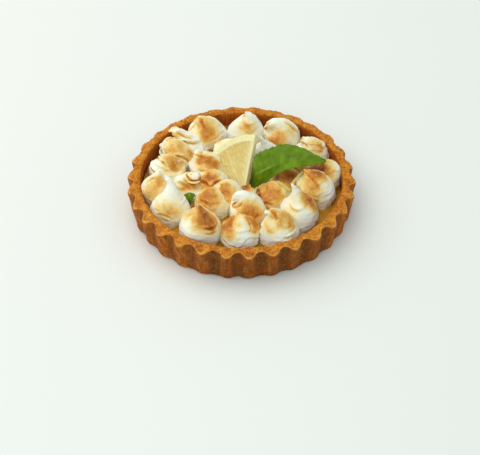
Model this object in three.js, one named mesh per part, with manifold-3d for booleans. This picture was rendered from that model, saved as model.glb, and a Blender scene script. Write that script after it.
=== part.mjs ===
// Lemon meringue tart: a fluted pastry case out of its tin, lemon curd, a crowd of piped and
// toasted meringue kisses, a leaning wedge of lemon and a mint leaf.
// Millimetres, +Z up, origin in the middle of the base.
import * as THREE from 'three';
import { mergeVertices } from 'three/addons/utils/BufferGeometryUtils.js';
import Module from 'manifold-3d';

const wasm = await Module();
wasm.setup();

const clearance = 0.3; // between pieces that touch
const up = new THREE.Vector3(0, 0, 1);
const degree = Math.PI / 180;

// Pastry case
const lipRadius = 60.3; // over the flutes at the lip of the rim
const lipHeight = 17;
const footRadius = 58.1; // over the flutes at the base
const wallInside = 53;
const crestRadius = 54.5; // where the rim is highest
const crestHeight = 18.5;
const rimSlant = 0.55; // how steeply the rim falls to its lip, in the grooves
const floorThickness = 3.5;
const footRound = 0.7; // rounding of its edges
const rimRound = 1.2;
const fluteCount = 30;
const fluteDepth = 2.6; // at the rim
const fluteAtFoot = 0.5; // the share of its depth that a flute has there
const fluteSharpness = 0.8; // lower gives squarer flutes
const grooveAngle = -92 * degree; // where one groove lies
const stepsPerFlute = 6;
const rimCrumb = 0.3; // height of the crags on the rim
const wallCrumb = 0.15; // and of those on the walls

// Lemon curd
const curdTop = 10;
const curdSides = 48;

// Meringue kisses
const kissSides = 12;
const kissOval = 0.035; // how far a kiss is out of round
const kissRise = 0.5; // how far up its height a kiss stands straight, unless its own rise says
const kissLean = 0.35; // and the share of it that follows the way of the tip
const kissNib = 0.03; // the point on its last ring, as a share of its radius

// Lemon wedge
const lemonRadius = 33;
const lemonAngle = 60 * degree;
const lemonThickness = 3.2;
const lemonSoftEdge = 0.5;
const lemonPoint = new THREE.Vector3(1.4, -7.6, 11.5);
const lemonTilt = 44 * degree; // from lying flat
const lemonFacing = -138 * degree; // the way its face looks
const lemonTurn = 98 * degree; // the way its middle points, in its own plane

// Mint
const leafThickness = 0.5;
const leafRipple = 9; // radians of its waves from stalk to tip
const leafLeast = 0.5; // the least that a tooth leaves of the width

// Candied zest
const zestWidth = 2.9;
const zestThickness = 0.7;
const zestSteps = 6;

// The same random draw on every run
function randomFrom(seed) {
  let state = seed;
  return () => {
    state = (state * 1664525 + 1013904223) % 4294967296;
    return state / 4294967296;
  };
}

// Skins closed rings of equal length, from a first point to a last one
function loft(first, rings, last) {
  const sides = rings[0].length;
  const points = [first, ...rings.flat(), last];
  const index = [];
  for (let i = 0; i < sides; i++) {
    const j = (i + 1) % sides;
    index.push(0, 1 + j, 1 + i);
    for (let r = 0; r < rings.length - 1; r++) {
      const low = 1 + r * sides;
      const high = low + sides;
      index.push(low + i, low + j, high + j, low + i, high + j, high + i);
    }
    const top = 1 + (rings.length - 1) * sides;
    index.push(points.length - 1, top + i, top + j);
  }
  const geometry = new THREE.BufferGeometry().setFromPoints(points);
  geometry.setIndex(index);
  return geometry;
}

function ring(radius, height, sides) {
  return Array.from({ length: sides }, (_, i) => {
    const angle = (2 * Math.PI * i) / sides;
    return new THREE.Vector3(radius * Math.cos(angle), radius * Math.sin(angle), height);
  });
}

// Joining and cutting
function toSolid(geometry) {
  const bare = geometry.clone();
  bare.deleteAttribute('normal');
  bare.deleteAttribute('uv');
  const merged = mergeVertices(bare, 1e-5);
  return new wasm.Manifold(
    new wasm.Mesh({
      numProp: 3,
      vertProperties: Float32Array.from(merged.attributes.position.array),
      triVerts: Uint32Array.from(merged.index.array),
    }),
  );
}

function toGeometry(solid) {
  const { vertProperties, triVerts } = solid.getMesh();
  const geometry = new THREE.BufferGeometry();
  geometry.setAttribute('position', new THREE.BufferAttribute(vertProperties, 3));
  geometry.setIndex(new THREE.BufferAttribute(triVerts, 1));
  geometry.computeVertexNormals();
  return geometry;
}

function largestPiece(solid) {
  return solid.decompose().reduce((a, b) => (a.volume() > b.volume() ? a : b));
}

// Pastry case: one section carried round, with its flutes and crags
// Each row is a radius, a height, the share of the flutes, of the crumb, and which way it grows
const caseSection = [
  [footRadius - footRound, 0, fluteAtFoot, 0, 1, 0],
  [footRadius, footRound, fluteAtFoot, wallCrumb, 1, 0],
  [(footRadius + lipRadius) / 2, lipHeight / 2, (fluteAtFoot + 1) / 2, wallCrumb, 1, 0],
  [lipRadius, lipHeight - rimRound, 1, wallCrumb, 1, 0],
  [lipRadius - 0.6 * rimRound, lipHeight, 1, rimCrumb, 1, 1],
  [crestRadius, crestHeight, 0, rimCrumb, 0, 1],
  [wallInside + 0.4 * rimRound, crestHeight - 0.4 * rimRound, 0, rimCrumb, -1, 1],
  [wallInside, crestHeight - 1.3 * rimRound, 0, wallCrumb, -1, 1],
  [wallInside, floorThickness, 0, wallCrumb, -1, 1],
];
const caseSides = fluteCount * stepsPerFlute;

function fluteAt(angle) {
  const wave = Math.cos(fluteCount * (angle - grooveAngle));
  return 0.5 + 0.5 * Math.sign(wave) * Math.abs(wave) ** fluteSharpness; // 1 in a groove, 0 on a lobe
}

function caseGeometry(grow) {
  const random = randomFrom(7);
  const rings = caseSection.map(([radius, height, flute, crumb, growOut, growUp]) =>
    Array.from({ length: caseSides }, (_, i) => {
      const angle = (2 * Math.PI * i) / caseSides;
      const crag = crumb * (random() - 0.5) * 2;
      const lump = crumb * (random() - 0.5) * 2;
      const inset = flute * fluteDepth * fluteAt(angle);
      const out = radius - inset + crag + growOut * grow;
      const rise = height + growUp * (rimSlant * inset + lump + grow);
      return new THREE.Vector3(out * Math.cos(angle), out * Math.sin(angle), rise);
    }),
  );
  const floorMiddle = new THREE.Vector3(0, 0, floorThickness + grow);
  return loft(new THREE.Vector3(), rings, floorMiddle);
}

// Lemon curd: fills the case to below its rim
function curdGeometry(grow) {
  const wall = (wallInside - wallCrumb) * Math.cos(Math.PI / caseSides); // the nearest of its flats
  const side = wall - clearance + grow;
  const under = floorThickness + wallCrumb + clearance - grow;
  const top = curdTop + grow;
  const rings = [ring(side, under, curdSides), ring(side, top, curdSides)];
  return loft(new THREE.Vector3(0, 0, under), rings, new THREE.Vector3(0, 0, top));
}

// Meringue kisses: how wide a kiss is, as a share of its radius, from its foot to its tip
const peak = [
  [0, 0.89],
  [0.08, 0.99],
  [0.18, 1],
  [0.32, 0.93],
  [0.47, 0.73],
  [0.62, 0.46],
  [0.76, 0.27],
  [0.89, 0.16],
  [1, 0.07],
];
const spire = [
  [0, 0.89],
  [0.08, 0.99],
  [0.18, 0.98],
  [0.31, 0.84],
  [0.45, 0.56],
  [0.6, 0.34],
  [0.74, 0.21],
  [0.88, 0.13],
  [1, 0.06],
];
const dome = [
  [0, 0.89],
  [0.08, 0.99],
  [0.2, 1],
  [0.37, 0.95],
  [0.53, 0.83],
  [0.68, 0.62],
  [0.82, 0.38],
  [0.93, 0.2],
  [1, 0.08],
];
const cone = [
  [0, 0.89],
  [0.08, 0.98],
  [0.2, 0.97],
  [0.36, 0.84],
  [0.52, 0.66],
  [0.68, 0.47],
  [0.82, 0.3],
  [0.93, 0.18],
  [1, 0.09],
];
const slump = [
  [0, 0.89],
  [0.06, 0.99],
  [0.15, 1],
  [0.28, 0.95],
  [0.42, 0.83],
  [0.56, 0.69],
  [0.7, 0.54],
  [0.85, 0.38],
  [1, 0.17],
];
const hook = [
  [0, 0.89],
  [0.05, 0.99],
  [0.12, 1],
  [0.21, 0.96],
  [0.3, 0.8],
  [0.39, 0.58],
  [0.49, 0.4],
  [0.64, 0.28],
  [0.84, 0.2],
  [1, 0.09],
];
const curl = [
  [0, 0.89],
  [0.06, 0.99],
  [0.14, 0.98],
  [0.23, 0.87],
  [0.32, 0.69],
  [0.42, 0.51],
  [0.54, 0.39],
  [0.68, 0.3],
  [0.85, 0.21],
  [1, 0.1],
];
const knob = [
  [0, 0.89],
  [0.1, 0.99],
  [0.24, 1],
  [0.4, 0.9],
  [0.54, 0.68],
  [0.66, 0.47],
  [0.78, 0.35],
  [0.87, 0.45],
  [0.96, 0.45],
  [1, 0.36],
];

// Where each kiss stands, its radius, where its tip is from the middle of its foot, the way the
// tip points at its end, and for some how high they rise before they bend over. The ones in front
// come first, and those behind are cut by them.
const kisses = [
  { at: [-0.5, -38.3], radius: 10.3, tip: [-4, 3, 13.2], end: [-1, 0.3, 1], form: dome },
  { at: [19.3, -38.2], radius: 10, tip: [-7.8, 0.6, 17.2], end: [-1, -0.2, 0.1], form: cone },
  { at: [-21, -35.8], radius: 10.8, tip: [-0.2, 1.4, 19.5], end: [0, 0.5, 1], form: dome },
  { at: [29.9, -25.4], radius: 9.9, tip: [-4.2, 1.3, 24], end: [-0.3, 0, 1], form: peak },
  { at: [-37, -21.5], radius: 9.8, tip: [-2.4, 7.4, 21], end: [-1.2, 0.4, 1], form: spire },
  { at: [39.7, -7.3], radius: 9.7, tip: [-7.4, 2.4, 17], end: [-1, 0.6, 0.7], form: dome },
  { at: [3.4, -23.1], radius: 9.8, tip: [-8, -0.5, 12], end: [-0.7, -0.4, -0.9], form: curl, rise: 17 },
  { at: [-14.8, -15.6], radius: 9.3, tip: [-0.8, 0, 13.5], end: [0, 0, 1], form: dome },
  { at: [16.5, -11.2], radius: 9.3, tip: [-4.2, 0.3, 12], end: [-1, 0, 0.6], form: dome },
  { at: [-7.8, -10.6], radius: 9.2, tip: [-3, -0.6, 13], end: [-1, 0, 0.8], form: dome },
  { at: [-43.6, -7.3], radius: 9.2, tip: [1, 3, 16], end: [0.3, 0.5, 1], form: dome },
  { at: [-28.1, -1], radius: 9.4, tip: [2.5, 0.1, 10], end: [0, 0, 1], form: knob },
  { at: [43.9, 5.3], radius: 9.2, tip: [-1, 0.5, 14.5], end: [-0.6, 0, 1], form: dome },
  { at: [4, -5.5], radius: 8, tip: [-1.8, 1, 5.5], end: [0, 0, 1], form: dome },
  { at: [-15.5, -0.2], radius: 8.8, tip: [-2.5, -0.5, 11.5], end: [-1, 0, 1], form: dome },
  { at: [23.7, 1.3], radius: 9, tip: [-1.3, -0.1, 13], end: [0, 0, 1], form: dome },
  { at: [-39.2, 10.8], radius: 10, tip: [5, -0.5, 9], end: [1, -0.3, 0.2], form: slump, rise: 8 },
  { at: [-17.3, 12.6], radius: 9.2, tip: [-4, 3.1, 11.5], end: [1, -0.3, 0.2], form: peak },
  { at: [28.5, 16.5], radius: 9.2, tip: [-2, 0, 13], end: [-0.5, 0, 1], form: dome },
  { at: [-5, 25], radius: 9.4, tip: [-2, -1, 14], end: [0, 0, 1], form: dome },
  { at: [13, 20.5], radius: 8.8, tip: [-2.5, 0, 17.5], end: [-0.5, 0, 1], form: peak },
  { at: [-34, 22.6], radius: 9.3, tip: [-10, 3.5, 6.5], end: [-1, 0.2, -0.3], form: slump, rise: 11 },
  { at: [38.4, 24.2], radius: 9.3, tip: [-6, 2.5, 11.5], end: [-1, 0.1, 0.6], form: slump, rise: 8 },
  { at: [-26.4, 31], radius: 9, tip: [-12.9, 2.3, 11], end: [-1, 0, -0.6], form: hook, rise: 6 },
  { at: [22.6, 37], radius: 9.8, tip: [-9.8, -1.5, 11], end: [-0.6, -0.4, -0.7], form: hook, rise: 17 },
  { at: [2.6, 41.9], radius: 10.2, tip: [-0.4, -0.2, 18], end: [-0.6, 0, 1], form: cone },
  { at: [-18.5, 39.5], radius: 10.4, tip: [-7.8, 0.5, 14], end: [-1, 0.1, 0.3], form: dome },
];
const kissesBeforeLemon = 18;

function kissGeometry({ at, radius, tip, end, form, rise = kissRise * tip[2] }, grow) {
  const foot = new THREE.Vector3(at[0], at[1], curdTop + clearance);
  const top = new THREE.Vector3(at[0] + tip[0], at[1] + tip[1], curdTop + tip[2]);
  const way = new THREE.Vector3(...end).normalize();
  const shoulder = foot.clone().addScaledVector(up, rise);
  const neck = top.clone().addScaledVector(way, -kissLean * tip[2]);
  const axis = new THREE.CubicBezierCurve3(foot, shoulder, neck, top);
  const turn = new THREE.Quaternion();
  const rings = form.map(([along, share]) => {
    const middle = axis.getPoint(along);
    if (along === 0) middle.z -= grow;
    turn.setFromUnitVectors(up, axis.getTangent(along));
    turn.slerp(new THREE.Quaternion(), share * share); // wide rings stay level
    return Array.from({ length: kissSides }, (_, i) => {
      const angle = (2 * Math.PI * i) / kissSides;
      const oval = 1 + kissOval * (Math.sin(2 * angle + at[0]) + Math.sin(3 * angle + at[1]));
      const reach = radius * share * oval + grow;
      const point = new THREE.Vector3(reach * Math.cos(angle), reach * Math.sin(angle), 0);
      return point.applyQuaternion(turn).add(middle);
    });
  });
  const under = foot.clone().addScaledVector(up, -grow);
  return loft(under, rings, top.clone().addScaledVector(way, grow + kissNib * radius));
}

// Lemon wedge: a sector of a slice, leaning on the kisses
function lemonGeometry(grow) {
  const soft = lemonSoftEdge;
  const half = lemonAngle / 2;
  const radius = lemonRadius - soft + grow;
  const start = (soft - grow) / Math.sin(half);
  const rim = Math.asin((soft - grow) / radius);
  const outline = new THREE.Shape();
  outline.moveTo(start, 0);
  outline.lineTo(radius * Math.cos(rim - half), radius * Math.sin(rim - half));
  outline.absarc(0, 0, radius, rim - half, half - rim, false);
  outline.closePath();
  const geometry = new THREE.ExtrudeGeometry(outline, {
    depth: lemonThickness - 2 * soft + 2 * grow,
    curveSegments: 9,
    bevelThickness: soft,
    bevelSize: soft,
    bevelSegments: 1,
  });
  geometry.translate(0, 0, soft - lemonThickness - grow);
  geometry.rotateZ(lemonTurn);
  const facing = new THREE.Vector3(Math.cos(lemonFacing), Math.sin(lemonFacing), 0);
  const lean = new THREE.Quaternion().setFromAxisAngle(facing.clone().cross(up).negate(), lemonTilt);
  geometry.applyQuaternion(lean);
  geometry.translate(...lemonPoint.toArray());
  return geometry;
}

// Leaves: three guide lines from the stalk to the tip, with teeth along the two edges
const mintLeaf = {
  upperEdge: [
    [5.1, -4.7, 22],
    [5.9, -0.9, 26],
    [6.4, 2.9, 29],
    [9.2, 5.9, 30],
    [15, 9.3, 30],
    [22.5, 13.1, 29.5],
    [31.4, 11.7, 28.5],
    [38.2, 7.6, 27.5],
    [44.2, 4.3, 25.5],
  ],
  midrib: [
    [5.5, -5, 21.5],
    [11.8, -3.6, 25.5],
    [18, -2, 27.5],
    [25.4, -0.1, 28.3],
    [34.8, 1.8, 28],
    [44.4, 3.8, 25.5],
  ],
  lowerEdge: [
    [5.2, -5.6, 21],
    [4.1, -6, 18.5],
    [6.1, -6.6, 15],
    [9.3, -5.3, 15.5],
    [12.3, -5.4, 18],
    [18.1, -5.5, 24],
    [26.3, -4.3, 26.5],
    [35.2, -2.2, 27],
    [42.2, 0.8, 26.3],
    [44.3, 3, 25.4],
  ],
  steps: 26,
  across: 6, // squares from edge to edge
  teeth: 0.8,
  wave: 0.35,
};
const mintSprig = {
  upperEdge: [
    [-27.7, -12.9, 18],
    [-30, -13.6, 17],
    [-28.9, -15, 15.5],
    [-27.7, -16.9, 13],
  ],
  midrib: [
    [-26.9, -12.9, 18],
    [-27, -14.4, 17.3],
    [-27, -15.8, 15.7],
    [-27.1, -17, 13],
  ],
  lowerEdge: [
    [-26.1, -12.9, 18],
    [-23.9, -13.2, 17],
    [-25, -15, 15.5],
    [-26.5, -16.9, 13],
  ],
  steps: 5,
  across: 2,
  teeth: 0,
  wave: 0.1,
};

function leafGeometry({ upperEdge, midrib, lowerEdge, steps, across, teeth, wave }, grow) {
  const [upper, middle, lower] = [upperEdge, midrib, lowerEdge].map(
    (points) => new THREE.CatmullRomCurve3(points.map((point) => new THREE.Vector3(...point))),
  );
  const half = across / 2;
  const columns = across + 1;
  const points = [];
  for (let i = 0; i <= steps; i++) {
    const along = i / steps;
    const tooth = (i % 2) * teeth * Math.sin(Math.PI * along);
    for (let j = 0; j < columns; j++) {
      const edge = (j < half ? upper : lower).getPoint(along);
      const point = middle.getPoint(along);
      const share = Math.abs(j - half) / half;
      const width = point.distanceTo(edge);
      const toothed = Math.max(leafLeast, 1 - tooth / width) + grow / width;
      point.lerp(edge, share === 1 ? toothed : share);
      point.z += wave * share * Math.sin(leafRipple * along + j);
      if (i === 0) point.addScaledVector(middle.getTangent(0), -grow);
      if (i === steps) point.addScaledVector(middle.getTangent(1), grow);
      points.push(point);
    }
  }
  const faces = [];
  for (let i = 0; i < steps; i++) {
    for (let j = 0; j < across; j++) {
      const a = i * columns + j;
      const b = a + columns;
      faces.push([a, a + 1, b + 1], [a, b + 1, b]);
    }
  }
  const sheet = new THREE.BufferGeometry().setFromPoints(points);
  sheet.setIndex(faces.flat());
  sheet.computeVertexNormals();
  const normals = points.map((_, i) => new THREE.Vector3().fromBufferAttribute(sheet.attributes.normal, i));

  const last = steps * columns;
  const border = [
    ...Array.from({ length: steps }, (_, i) => i * columns),
    ...Array.from({ length: across }, (_, j) => last + j),
    ...Array.from({ length: steps }, (_, i) => last + across - i * columns),
    ...Array.from({ length: across }, (_, j) => across - j),
  ];
  const count = points.length;
  const index = faces.flatMap(([a, b, c]) => [a, b, c, count + a, count + c, count + b]);
  border.forEach((a, k) => {
    const b = border[(k + 1) % border.length];
    index.push(a, b, count + b, a, count + b, count + a);
  });
  const thick = leafThickness / 2 + grow;
  const faceAt = (side) => points.map((point, i) => point.clone().addScaledVector(normals[i], side * thick));
  const geometry = new THREE.BufferGeometry().setFromPoints([...faceAt(1), ...faceAt(-1)]);
  geometry.setIndex(index);
  return geometry;
}

// Candied zest: short bent strips
const zestStrips = [
  { name: 'zest_left', from: [18.4, -9.6, 22], over: [21.6, -10.8, 21.4], to: [25, -12.6, 18.8] },
  { name: 'zest_right', from: [32.3, -1.2, 22], over: [29.5, -5, 22], to: [25.8, -9.6, 20] },
];

function zestGeometry({ from, over, to }, grow) {
  const [a, b, c] = [from, over, to].map((point) => new THREE.Vector3(...point));
  const path = new THREE.QuadraticBezierCurve3(a, b, c);
  const wide = zestWidth / 2 + grow;
  const thick = zestThickness / 2 + grow;
  const section = new THREE.Shape();
  section.moveTo(-thick, -wide);
  section.lineTo(thick, -wide);
  section.lineTo(thick, wide);
  section.lineTo(-thick, wide);
  section.closePath();
  return new THREE.ExtrudeGeometry(section, { steps: zestSteps, extrudePath: path });
}

// Colours
const pastry = new THREE.MeshStandardMaterial({ color: 0xb97a3c, roughness: 0.85, metalness: 0 });
const curd = new THREE.MeshStandardMaterial({ color: 0xd9a53a, roughness: 0.3, metalness: 0 });
const meringue = new THREE.MeshStandardMaterial({ color: 0xf2e2c4, roughness: 0.6, metalness: 0 });
const lemon = new THREE.MeshStandardMaterial({ color: 0xe6d98e, roughness: 0.35, metalness: 0 });
const mint = new THREE.MeshStandardMaterial({ color: 0x4f8a22, roughness: 0.5, metalness: 0 });
const zest = new THREE.MeshStandardMaterial({ color: 0xd8d08a, roughness: 0.5, metalness: 0 });

const tart = new THREE.Group();

function addMesh(name, geometry, material) {
  const mesh = new THREE.Mesh(geometry, material);
  mesh.name = name;
  tart.add(mesh);
}

function cut(solid, tools) {
  return largestPiece(tools.reduce((rest, tool) => rest.subtract(tool), solid));
}

addMesh('pastry_case', caseGeometry(0), pastry);
addMesh('lemon_curd', curdGeometry(0), curd);

const leaf = toSolid(leafGeometry(mintLeaf, 0));
const sprig = toSolid(leafGeometry(mintSprig, 0));
const garnishRoom = [
  toSolid(leafGeometry(mintLeaf, clearance)),
  toSolid(leafGeometry(mintSprig, clearance)),
  ...zestStrips.map((strip) => toSolid(zestGeometry(strip, clearance))),
];
addMesh('mint_leaf', toGeometry(leaf), mint);
addMesh('mint_sprig', toGeometry(sprig), mint);
for (const strip of zestStrips) addMesh(strip.name, toGeometry(toSolid(zestGeometry(strip, 0))), zest);

// The kisses and the wedge, from the front to the back: each gives way to the ones before it
const curdRoom = toSolid(curdGeometry(clearance));
const placed = [toSolid(caseGeometry(clearance)), ...garnishRoom];
kisses.forEach((kiss, i) => {
  if (i === kissesBeforeLemon) {
    const wedge = cut(toSolid(lemonGeometry(0)), [curdRoom, ...placed]);
    addMesh('lemon_wedge', toGeometry(wedge), lemon);
    placed.push(toSolid(lemonGeometry(clearance)));
  }
  const plain = toSolid(kissGeometry(kiss, 0));
  addMesh(`kiss_${String(i + 1).padStart(2, '0')}`, toGeometry(cut(plain, placed)), meringue);
  placed.push(toSolid(kissGeometry(kiss, clearance)).add(plain));
});

export default tart;
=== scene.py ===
# Lemon meringue tart: a fluted pastry case full of lemon curd, under a crowd of piped and toasted
# meringue kisses, with a leaning wedge of lemon, a mint leaf and strips of candied zest.
import math
import random

import bpy
import numpy as np
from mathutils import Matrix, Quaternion, Vector, noise
from mathutils.bvhtree import BVHTree


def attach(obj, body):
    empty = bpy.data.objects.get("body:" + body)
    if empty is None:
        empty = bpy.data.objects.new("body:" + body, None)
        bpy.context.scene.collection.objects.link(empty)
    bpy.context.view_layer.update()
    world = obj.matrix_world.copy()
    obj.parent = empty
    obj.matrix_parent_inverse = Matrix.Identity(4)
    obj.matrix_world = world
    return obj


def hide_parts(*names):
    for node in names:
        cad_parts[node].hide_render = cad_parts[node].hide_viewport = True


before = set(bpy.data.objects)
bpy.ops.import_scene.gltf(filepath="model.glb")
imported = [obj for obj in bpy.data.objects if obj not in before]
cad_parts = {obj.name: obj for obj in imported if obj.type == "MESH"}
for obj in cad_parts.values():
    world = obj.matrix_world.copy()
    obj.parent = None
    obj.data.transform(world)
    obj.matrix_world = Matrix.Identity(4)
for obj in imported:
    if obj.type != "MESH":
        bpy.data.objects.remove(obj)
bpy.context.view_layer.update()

mm = 0.001  # shapes are worked out in millimetres and made in metres
body = "root"
up = Vector((0, 0, 1))


# Small sums

def smoothStep(x, low, high):  # 0 at low, 1 at high
    t = np.clip((np.asarray(x, float) - low) / (high - low), 0, 1)
    return t * t * (3 - 2 * t)


def throughPoints(xs, ys, x):  # one smooth curve through the given points
    xs, ys, x = np.asarray(xs, float), np.asarray(ys, float), np.asarray(x, float)
    slopes = np.gradient(ys, xs, axis=0)
    i = np.clip(np.searchsorted(xs, x) - 1, 0, len(xs) - 2)
    gap = xs[i + 1] - xs[i]
    t = (x - xs[i]) / gap
    if ys.ndim > 1:
        t, gap = t[:, None], gap[:, None]
    return ((1 + 2 * t) * (1 - t) ** 2 * ys[i] + t * (1 - t) ** 2 * gap * slopes[i]
            + t * t * (3 - 2 * t) * ys[i + 1] + t * t * (t - 1) * gap * slopes[i + 1])


def alongLine(points, t):  # a smooth line through points in space, t from 0 to 1
    return throughPoints(np.linspace(0, 1, len(points)), points, t)


def lumps(points, size, seed=0.0):  # soft swells, -1 to 1, of that size in mm
    shift = Vector((seed, 1.7 * seed, -2.3 * seed))
    return np.array([noise.noise(Vector(p) / size + shift) for p in points])


def crags(points, size, seed=0.0):  # sharp ridges with soft hollows, about -1 to 1
    shift = Vector((seed, -1.3 * seed, 0.9 * seed))
    ridge = [noise.ridged_multi_fractal(Vector(p) / size + shift, 1.0, 2.1, 3, 1.0, 2.0) for p in points]
    return np.array(ridge) - 1.0


def grains(points, size, seed=0.0):  # rounded crumbs, 1 in the middle of each, 0 between them
    shift = Vector((seed, seed, seed))
    return 1 - np.array([noise.voronoi(Vector(p) / size + shift)[0][0] for p in points])


def asPoints(x, y, z):  # three grids of numbers as one list of places
    return np.stack(np.broadcast_arrays(x, y, z), -1).reshape(-1, 3)


def surfaceNormals(points, faces):
    a, b, c, d = (points[faces[:, k]] for k in range(4))
    across = np.cross(c - a, d - b)
    normals = np.zeros_like(points)
    for k in range(4):
        np.add.at(normals, faces[:, k], across)
    return normals / np.maximum(np.linalg.norm(normals, axis=1, keepdims=True), 1e-12)


# Meshes

def gridFaces(rows, columns, closed):
    across = np.arange(columns if closed else columns - 1)
    low = np.arange(rows - 1)[:, None] * columns
    a, b = low + across, low + (across + 1) % columns
    return np.stack([a, b, b + columns, a + columns], -1).reshape(-1, 4)


def capFaces(first, columns, middle, facingUp):  # a fan from one row of a grid to a middle point
    pairs = [(first + i, first + (i + 1) % columns) for i in range(columns)]
    return [(a, b, middle) if facingUp else (b, a, middle) for a, b in pairs]


def sheetFaces(rows, columns):  # two grids back to back, stitched round their edge into one body
    top = gridFaces(rows, columns, False)
    count = rows * columns
    under = top[:, ::-1] + count
    edge = [i * columns for i in range(rows - 1)]
    edge += [(rows - 1) * columns + i for i in range(columns - 1)]
    edge += [i * columns + columns - 1 for i in range(rows - 1, 0, -1)]
    edge += list(range(columns - 1, 0, -1))
    rim = [(b, a, a + count, b + count) for a, b in zip(edge, edge[1:] + edge[:1])]
    return top.tolist() + under.tolist() + [face[::-1] for face in rim]


def pieceName(node):  # mint_leaf becomes mintLeaf
    first, *others = node.split("_")
    return first + "".join(word.capitalize() for word in others)


def makePiece(node, points, faces, material, marks={}):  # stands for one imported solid
    name = pieceName(node)
    mesh = bpy.data.meshes.new(name)
    mesh.from_pydata((np.asarray(points) * mm).tolist(), [], [tuple(face) for face in faces])
    mesh.update()
    mesh.shade_smooth()
    for mark, values in marks.items():
        mesh.attributes.new(mark, "FLOAT", "POINT").data.foreach_set("value", np.asarray(values, np.float32))
    mesh.materials.append(material)
    piece = bpy.data.objects.new(name, mesh)
    bpy.context.scene.collection.objects.link(piece)
    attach(piece, body)
    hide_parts(node)


# Materials

class Recipe:  # a material, and short ways to add nodes to it
    def __init__(self, name, values={}):
        self.material = bpy.data.materials.new(name)
        self.material.use_nodes = True
        self.tree = self.material.node_tree
        self.shader = self.tree.nodes["Principled BSDF"]
        for socket, value in values.items():
            self.shader.inputs[socket].default_value = value
        self.place = self.add("ShaderNodeTexCoord").outputs["Object"]

    def add(self, kind, inputs={}, **settings):
        node = self.tree.nodes.new(kind)
        for key, value in settings.items():
            setattr(node, key, value)
        for key, value in inputs.items():
            if isinstance(value, bpy.types.NodeSocket):
                self.tree.links.new(value, node.inputs[key])
            else:
                node.inputs[key].default_value = value
        return node

    def mark(self, name):  # what the mesh says of each place, 0 to 1
        return self.add("ShaderNodeAttribute", attribute_name=name).outputs["Fac"]

    def noise(self, size, detail=3.0, rough=0.55, place=None):  # size in mm
        inputs = {"Vector": place or self.place, "Scale": 1 / (size * mm)}
        inputs.update({"Detail": detail, "Roughness": rough})
        return self.add("ShaderNodeTexNoise", inputs).outputs["Fac"]

    def stretched(self, x, y, z):  # the same place, drawn out along an axis
        inputs = {"Vector": self.place, "Scale": (x, y, z)}
        return self.add("ShaderNodeMapping", inputs).outputs["Vector"]

    def sum(self, operation, a, b, c=0.0):  # Blender's own names for the sums
        return self.add("ShaderNodeMath", {0: a, 1: b, 2: c}, operation=operation).outputs[0]

    def band(self, value, low, high, bottom=0.0, top=1.0):  # bottom at low, top at high
        inputs = {"Value": value, "From Min": low, "From Max": high, "To Min": bottom, "To Max": top}
        return self.add("ShaderNodeMapRange", inputs, interpolation_type="SMOOTHSTEP").outputs[0]

    def ramp(self, value, stops):
        node = self.add("ShaderNodeValToRGB", {"Fac": value})
        band = node.color_ramp
        while len(band.elements) < len(stops):
            band.elements.new(0.5)
        for element, (at, colour) in zip(band.elements, stops):
            element.position = at
            element.color = paint(*colour)
        return node.outputs["Color"]

    def blend(self, share, a, b):  # sockets 6, 7 and 2 are the ones for colours
        return self.add("ShaderNodeMix", {"Factor": share, 6: a, 7: b}, data_type="RGBA").outputs[2]

    def bump(self, height, depth, strength=1.0, under=None):  # depth in mm
        inputs = {"Height": height, "Distance": depth * mm, "Strength": strength}
        if under is not None:
            inputs["Normal"] = under
        return self.add("ShaderNodeBump", inputs).outputs["Normal"]

    def finish(self, sockets):
        for key, socket in sockets.items():
            self.tree.links.new(socket, self.shader.inputs[key])
        return self.material


def paint(red, green, blue):  # a colour as the eye names it, 0 to 255
    parts = [part / 255 for part in (red, green, blue)]
    return (*(((part + 0.055) / 1.055) ** 2.4 if part > 0.04045 else part / 12.92 for part in parts), 1)


# Camera and studio

studio = {  # places in mm, lights' sizes in metres and powers in watts
    "lookAt": (-0.7, -20.3, 0.0),
    "distance": 650.0,
    "elevation": 43.98,
    "lens": 92.85,
    "floorColour": (238, 239, 237),
    "floorRoughness": 0.6,
    "floorReach": 6000,
    "keyFrom": (-520, 330, 940),
    "keySize": 1.6,
    "keyPower": 7.8,
    "keyColour": (255, 250, 240),
    "fillFrom": (-300, -800, 520),
    "fillSize": 0.8,
    "fillPower": 1.4,
    "fillColour": (240, 252, 246),
    "skyColour": (232, 242, 240),
    "skyStrength": 0.74,
}


def addCamera():
    tilt = math.radians(studio["elevation"])
    back = Vector((0, -math.cos(tilt), math.sin(tilt)))
    camera = bpy.data.objects.new("camera", bpy.data.cameras.new("camera"))
    camera.data.lens = studio["lens"]
    camera.location = (Vector(studio["lookAt"]) + back * studio["distance"]) * mm
    camera.rotation_mode = "QUATERNION"
    camera.rotation_quaternion = (-back).to_track_quat("-Z", "Y")
    camera.data.clip_start = 0.01
    bpy.context.scene.collection.objects.link(camera)
    bpy.context.scene.camera = camera


def addSoftLight(name, place, size, power, colour):
    light = bpy.data.lights.new(name, "AREA")
    light.shape = "DISK"
    light.size = size
    light.energy = power
    light.color = paint(*colour)[:3]
    lamp = bpy.data.objects.new(name, light)
    lamp.location = Vector(place) * mm
    lamp.rotation_mode = "QUATERNION"
    lamp.rotation_quaternion = (-Vector(place)).to_track_quat("-Z", "Y")
    bpy.context.scene.collection.objects.link(lamp)


def addStudio():
    addCamera()
    for lamp in ("key", "fill"):
        addSoftLight(lamp, *(studio[lamp + part] for part in ("From", "Size", "Power", "Colour")))
    world = bpy.data.worlds.new("studio")
    world.use_nodes = True
    sky = world.node_tree.nodes["Background"].inputs
    sky["Color"].default_value = paint(*studio["skyColour"])
    sky["Strength"].default_value = studio["skyStrength"]
    bpy.context.scene.world = world
    bpy.context.scene.view_settings.view_transform = "Standard"
    addFloor()


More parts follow.
